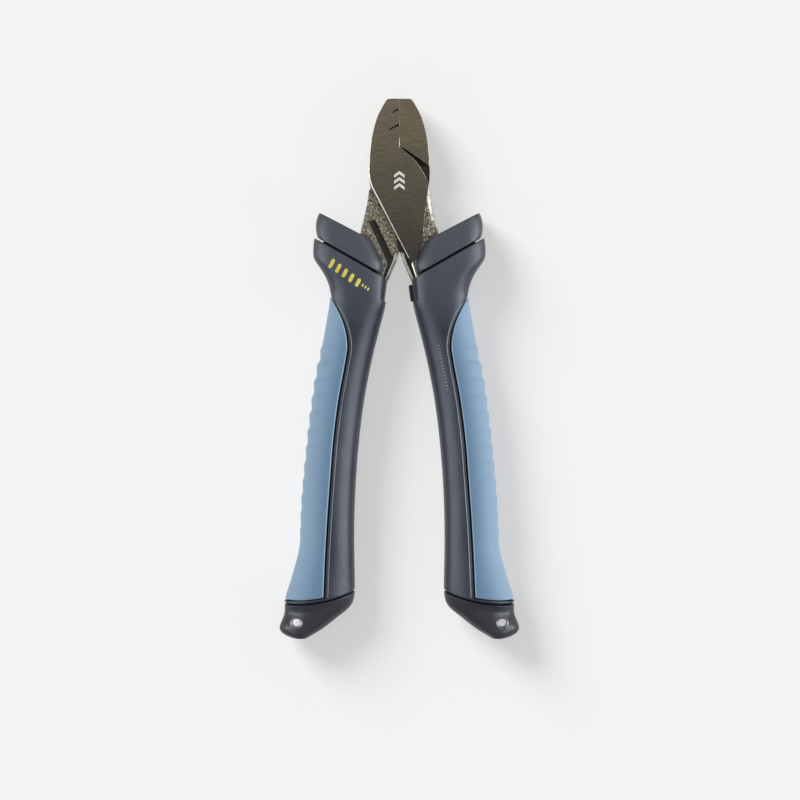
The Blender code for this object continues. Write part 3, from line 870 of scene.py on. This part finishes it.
def front_outline(male):
    """Outline of the front of a forging: its jaw and its lap plate in one."""
    jaw = smooth(JAW_SIDE, 5)[::-1]
    shoulder = smooth(SHOULDER, 5)
    right = smooth([*PLATE_RIGHT, *PLATE_TIP], 4)
    return [*jaw, *seam_line(male), (0.0, 69.8), *shoulder, *right, PLATE_CORNER, *PLATE_LEFT]


def on_diagonal(x, y):
    """Whether a side of the lap plate is its long inner edge, or the start of its left edge."""
    return 35.0 < y < 59.0 and x < 1.5 - 0.55 * (y - 40.0)


def on_seam(x, y):
    """Whether a side is on the closing faces of the jaws, above the step."""
    return -4.0 < x < 4.0 and 69.0 < y < 84.9


def on_lower_die(x, y):
    """Whether a side is on the lower flank of a die, or on the closing face under the dies."""
    return on_seam(x, y) and (78.2 < y < 80.4 or 69.0 < y < 74.9)


def on_plate_right(x, y):
    """Whether a side is on the right of the lap plate, or round its tip."""
    return x > 2.0 and y < 60.0


def on_outer_side(x, y):
    """Whether a side of the neck is its outer one."""
    return x > 8.0 + (56.0 - y) * 0.06 and y > 36.0


def beside(points, offset):
    return [(x + offset, y) for x, y in points]


def lip_parts(flip):
    """The thin lip inside the tang: a rim, a slit and a wider strip, on a thinner web that is painted shade.
    """
    rim = [*LIP_INNER, *reversed(beside(LIP_INNER, LIP_RIM))]
    strip = [*beside(LIP_INNER, LIP_RIM + LIP_SLIT), *reversed(beside(LIP_INNER, LIP_WIDTH))]
    web = [*beside(LIP_INNER[1:], 0.1), (9.0, 25.0), (9.0, 33.0), (4.2, 34.4), (2.1, 35.4)]
    return [slab(web, -CHANNEL, CHANNEL, slots=(3, 3, 3, 3), flip=flip),
            slab(rim, -LIP, LIP, front=0.1, rear=0.1, slots=(1, 1, 1, 1), flip=flip),
            slab(strip, -LIP, LIP, front=0.1, rear=0.1, slots=(1, 1, 1, 1), flip=flip)]


def tang_outline():
    return [*PAD_EDGE, *smooth(TANG_OUTER[2:], 3), *TANG_END, *smooth(TANG_INNER, 3)]


def neck_outline():
    """The metal that joins the lap plate to the tang, with the speckled skin of the forging."""
    return [(3.9, 33.3), *TANG_OUTER[3::-1], (5.0, 57.5), (4.0, 45.0), (3.6, 38.0)]


def forging(name, male, flip):
    """One forging: jaw and lap plate, neck, tang and lip.  The rear one is turned over."""
    # The diagonal's side and the plate's right side take slot 3: a painted shadow line at their feet.
    piece = slab(front_outline(male), LAP, HEAD, front=0.1, slots=(0, 1, 0, 2), flip=flip,
                 styles=((on_diagonal, 0.36, 0.4, 1, 3), (on_lower_die, 0.04, 0.0, 1, 0),
                         (on_seam, 0.03, 0.0, 0, 0), (on_plate_right, 0.08, 0.0, 0, 3)))
    piece.name = name
    start, end = PAD_EDGE[2], PAD_EDGE[3]
    away = np.array([start[1] - end[1], end[0] - start[0]]) / math.dist(start, end)
    back = -0.05 * away
    top = [tuple(np.add(start, back)), tuple(np.add(end, back))]
    foot = [tuple(np.add(start, away * PAD_SLOPE)), tuple(np.add(end, away * PAD_SLOPE))]
    layers = [
        slab(jaw_outline(male), -HEAD, LAP + 0.4, rear=0.1, slots=(2, 1, 0, 0), flip=flip),
        slab(neck_outline(), LAP, PAD, slots=(2, 1, 2, 2), flip=flip,
             styles=((on_outer_side, 1.0, 0.15, 4, 4),)),
        # the lap floor's top is painted shade (slot 3)
        slab(lap_floor_outline(), LAP, LIP - 0.15, slots=(3, 3, 3, 2), flip=flip),
        slab(tang_outline(), -PAD, PAD, front=0.25, rear=0.25, flip=flip),
        slope(top, foot, -PAD + 0.25, LAP + 0.05, flip),
        *lip_parts(flip),
    ]
    # On this half, painted shade fills the gap between each die and its tooth.
    if not male:
        layers += [slab([*die, *reversed(tooth)], -1.0, 1.0, slots=(3, 3, 3, 3))
                   for die, tooth in ((SMALL_DIE, SMALL_TOOTH), (LARGE_DIE, LARGE_TOOTH))]
    for layer in layers:
        combine(piece, layer, "UNION", sharp=20)
    bore = turned("bore", rivet_profile(RIVET_GAP), PIVOT[:2], [STEEL_FACE])
    return combine(piece, bore, "DIFFERENCE", sharp=20)


def lap_floor_outline():
    """The floor under the other half's plate, down to the crotch between the lips."""
    return [*LAP_CROTCH, *TANG_OUTER[3::-1], (0.0, 60.0)]


def rivet_profile(grow):
    """The rivet's flush countersunk heads and its shank, upwards, or the bore round them."""
    end = HEAD + (0.5 if grow else 0.0)
    neck = HEAD - RIVET_HEAD_DEPTH
    shank = RIVET_RADIUS + grow
    head = shank + (end - neck) * (RIVET_HEAD - RIVET_RADIUS) / RIVET_HEAD_DEPTH
    return [(head, -end), (shank, -neck), (shank, neck), (head, end)]


def tang_room(grow):
    """The pocket that a tang and its lip fill in the mouldings."""
    def grown(outline):
        return [tuple(point) for point in inset_outline(outline, [-grow] * len(outline))]

    lip = [*LIP_INNER, (9.0, 24.0), (9.0, 35.0)]
    room = slab(grown(tang_outline()), -PAD - grow, PAD + grow, slots=(0, 0, 0, 0))
    room = combine(room, slab(grown(lip), -LIP - grow, LIP + grow, slots=(0, 0, 0, 0)), "UNION")
    room.data.materials.clear()
    return room


# ---------------------------------------------------------------- marks
def drop_on(name, outlines, target, thickness, material, spread=(1.0,)):
    """Thin raised marks dropped onto the front of an object.

    Each is built from copies of its outline, scaled about its middle by spread, so that it can follow a
    curved face.
    """
    tree = BVHTree.FromObject(target, bpy.context.evaluated_depsgraph_get())

    def height(x, y):
        return tree.ray_cast(Vector((x * MM, y * MM, 0.05)), Vector((0, 0, -1)))[0].z

    bm = bmesh.new()
    for outline in outlines:
        middle = np.mean(outline, axis=0)
        layers = []
        for lift in (-0.15, thickness):
            copies = [[middle + (np.array(point) - middle) * scale for point in outline] for scale in spread]
            layers.append(add_rings(bm, [[(x * MM, y * MM, height(x, y) + lift * MM) for x, y in copy]
                                         for copy in copies]))
        for layer in layers:
            skin(bm, layer)
            bm.faces.new(layer[0])
        skin(bm, [layer[-1] for layer in layers])
    return add_object(name, bm, [material], sharp=30)


def bar(centre, length, width, angle):
    """A round-ended bar's outline."""
    points = []
    for end in (1, -1):
        for step in range(7):
            turn = math.pi * (step / 6 - 0.5) + (0 if end == 1 else math.pi)
            x = end * (length - width) / 2 + width / 2 * math.cos(turn)
            y = width / 2 * math.sin(turn)
            points.append((centre[0] + x * math.cos(angle) - y * math.sin(angle),
                           centre[1] + x * math.sin(angle) + y * math.cos(angle)))
    return points


def chevron(y, width, rise, stroke):
    """A chevron that points to the jaw tips."""
    half = width / 2
    foot = [(-half, y), (0.0, y + rise), (half, y)]
    return [*foot, *[(x, low + stroke) for x, low in reversed(foot)]]


def row(start, step, count):
    """Evenly stepped places in a straight row."""
    return [(start[0] + step[0] * index, start[1] + step[1] * index) for index in range(count)]


# ---------------------------------------------------------------- assembly
def place(piece, body, node_name, slot_name):
    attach(piece, body)
    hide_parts(node_name)


def build_handles():
    room = tang_room(0.02)
    pieces = {"handle_body": (handle_body(), "navy_rubber"), "guard": (guard(), "navy_rubber"),
              "handle_core": (core(), "core_plastic"), "grip": (grip(), "blue_rubber"),
              "end_cap": (end_cap(), "cap_plastic"), "lanyard_eyelet": (eyelet(), "eyelet_nickel")}
    for node_name, (piece, slot_name) in pieces.items():
        if node_name in ("handle_body", "guard", "handle_core"):
            cutter = room.copy()
            bpy.context.scene.collection.objects.link(cutter)
            combine(piece, cutter, "DIFFERENCE")
        left = mirrored(piece)
        place(left, REAR, f"{node_name}_left", slot_name)
        place(piece, FRONT, f"{node_name}_right", slot_name)
    bpy.data.objects.remove(room)


def build_forgings():
    front = forging("forging_front_steel", False, 1)
    rear = forging("forging_rear_steel", True, -1)
    rivet = turned("pivot_rivet_steel", rivet_profile(0.0), PIVOT[:2], [STEEL_FACE])
    marks = [chevron(y, CHEVRON_WIDTH, CHEVRON_RISE, CHEVRON_STROKE) for y in CHEVRONS]
    mark = drop_on("plate_mark", marks, rivet, 0.02, SILVER_INK)
    place(front, FRONT, "forging_front", "jaw_steel")
    place(rear, REAR, "forging_rear", "jaw_steel")
    place(rivet, REAR, "pivot_rivet", "rivet_steel")
    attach(mark, REAR)


def build_marks():
    left = bpy.data.objects["handle_body_left_moulding"]
    right = bpy.data.objects["handle_body_right_moulding"]
    gold = [bar(centre, 3.2 - 0.1 * index, 1.15, GOLD_SLANT)
            for index, centre in enumerate(row((-21.2, 33.1), (2.05, -1.5), 5))]
    gold += [bar(centre, 1.0, 0.5, GOLD_SLANT) for centre in row((-11.5, 26.3), (0.85, -0.62), 3)]
    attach(drop_on("handle_mark_gold", gold, left, 0.03, GOLD_INK, MARK_SPREAD), REAR)
    # The raised dashes take the painted-highlight navy.
    dashes = [bar(centre, 0.75, 0.28, DASH_SLANT) for centre in row((12.2, 7.4), (0.225, -1.05), 14)]
    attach(drop_on("handle_mark_raised", dashes, right, 0.08, NAVY_HIGHLIGHT, MARK_SPREAD), FRONT)


def build_stop():
    """The small dark stop let into the inner side of the right handle, under the tang."""
    outline = bar(STOP, STOP_LENGTH, STOP_WIDTH, STOP_TURN)
    stop = slab(outline, -STOP_DEPTH, STOP_DEPTH, 0.15, 0.15)
    stop.name = "handle_body_right_stop"
    stop.data.materials.clear()
    stop.data.materials.append(CORE_AND_SHADE)
    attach(stop, FRONT)


def build_floor():
    """The pale floor, which glows a little like a light table."""
    mesh = bpy.data.meshes.new("floor")
    corners = [(-1, -1), (1, -1), (1, 1), (-1, 1)]
    mesh.from_pydata([(x * FLOOR_SIZE, y * FLOOR_SIZE, 0) for x, y in corners], [], [(0, 1, 2, 3)])
    floor = bpy.data.objects.new("floor", mesh)
    bpy.context.scene.collection.objects.link(floor)
    material, shader = new_material("floor_light_table", (FLOOR_TONE,) * 3, 0.95, specular=0.0)
    tones = [(0.3, (FLOOR_TONE - 0.002,) * 3), (0.7, (FLOOR_TONE + 0.002,) * 3)]
    tone = ramp(material, grain(material, 40, 2), tones)
    link(material, tone, shader.inputs["Base Color"])
    shader.inputs["Emission Color"].default_value = (1, 1, 1, 1)
    shader.inputs["Emission Strength"].default_value = FLOOR_GLOW
    floor.data.materials.append(material)
    return floor


def build_lights(floor):
    """An even dim room, a key that lights only the floor, and two side strips that light the rest."""
    world = bpy.data.worlds.new("studio")
    world.use_nodes = True
    world.node_tree.nodes["Background"].inputs["Color"].default_value = (AMBIENT, AMBIENT, AMBIENT, 1)
    bpy.context.scene.world = world

    only_floor = bpy.data.collections.new("only_floor")
    only_floor.objects.link(floor)
    all_but_floor = bpy.data.collections.new("all_but_floor")
    all_but_floor.objects.link(floor)
    all_but_floor.collection_objects[0].light_linking.link_state = "EXCLUDE"

    sun = bpy.data.lights.new("key", "SUN")
    sun.energy, sun.angle = SUN_POWER, math.radians(SUN_SPREAD)
    add_lamp("key", sun, SUN_FROM, only_floor)
    for side, power in ((-1, STRIP_POWER[0]), (1, STRIP_POWER[1])):
        strip = bpy.data.lights.new("strip", "AREA")
        strip.shape, strip.size, strip.size_y, strip.energy = "RECTANGLE", *STRIP_SIZE, power
        strip.color = STRIP_COLOUR
        rise = math.radians(STRIP_RISE)
        spot = (side * math.cos(rise) * STRIP_REACH, 0.0, math.sin(rise) * STRIP_REACH)
        add_lamp("strip", strip, spot, all_but_floor)
    bpy.context.scene.view_settings.view_transform = "Standard"


def add_lamp(name, light, location, receivers):
    """A lamp that faces the pliers and lights only its receivers."""
    lamp = bpy.data.objects.new(name, light)
    lamp.location = location
    lamp.rotation_euler = Vector(location).to_track_quat("Z", "Y").to_euler()
    lamp.light_linking.receiver_collection = receivers
    bpy.context.scene.collection.objects.link(lamp)


def build_camera():
    data = bpy.data.cameras.new("camera")
    data.sensor_width = 36.0
    data.lens = data.sensor_width * CAMERA_HEIGHT / (VIEW_WIDTH * MM)
    camera = bpy.data.objects.new("camera", data)
    camera.location = (VIEW_CENTRE[0] * MM, VIEW_CENTRE[1] * MM, CAMERA_HEIGHT + MID * MM)
    bpy.context.scene.collection.objects.link(camera)
    bpy.context.scene.camera = camera


build_forgings()
build_handles()
build_marks()
build_stop()
build_lights(build_floor())
build_camera()
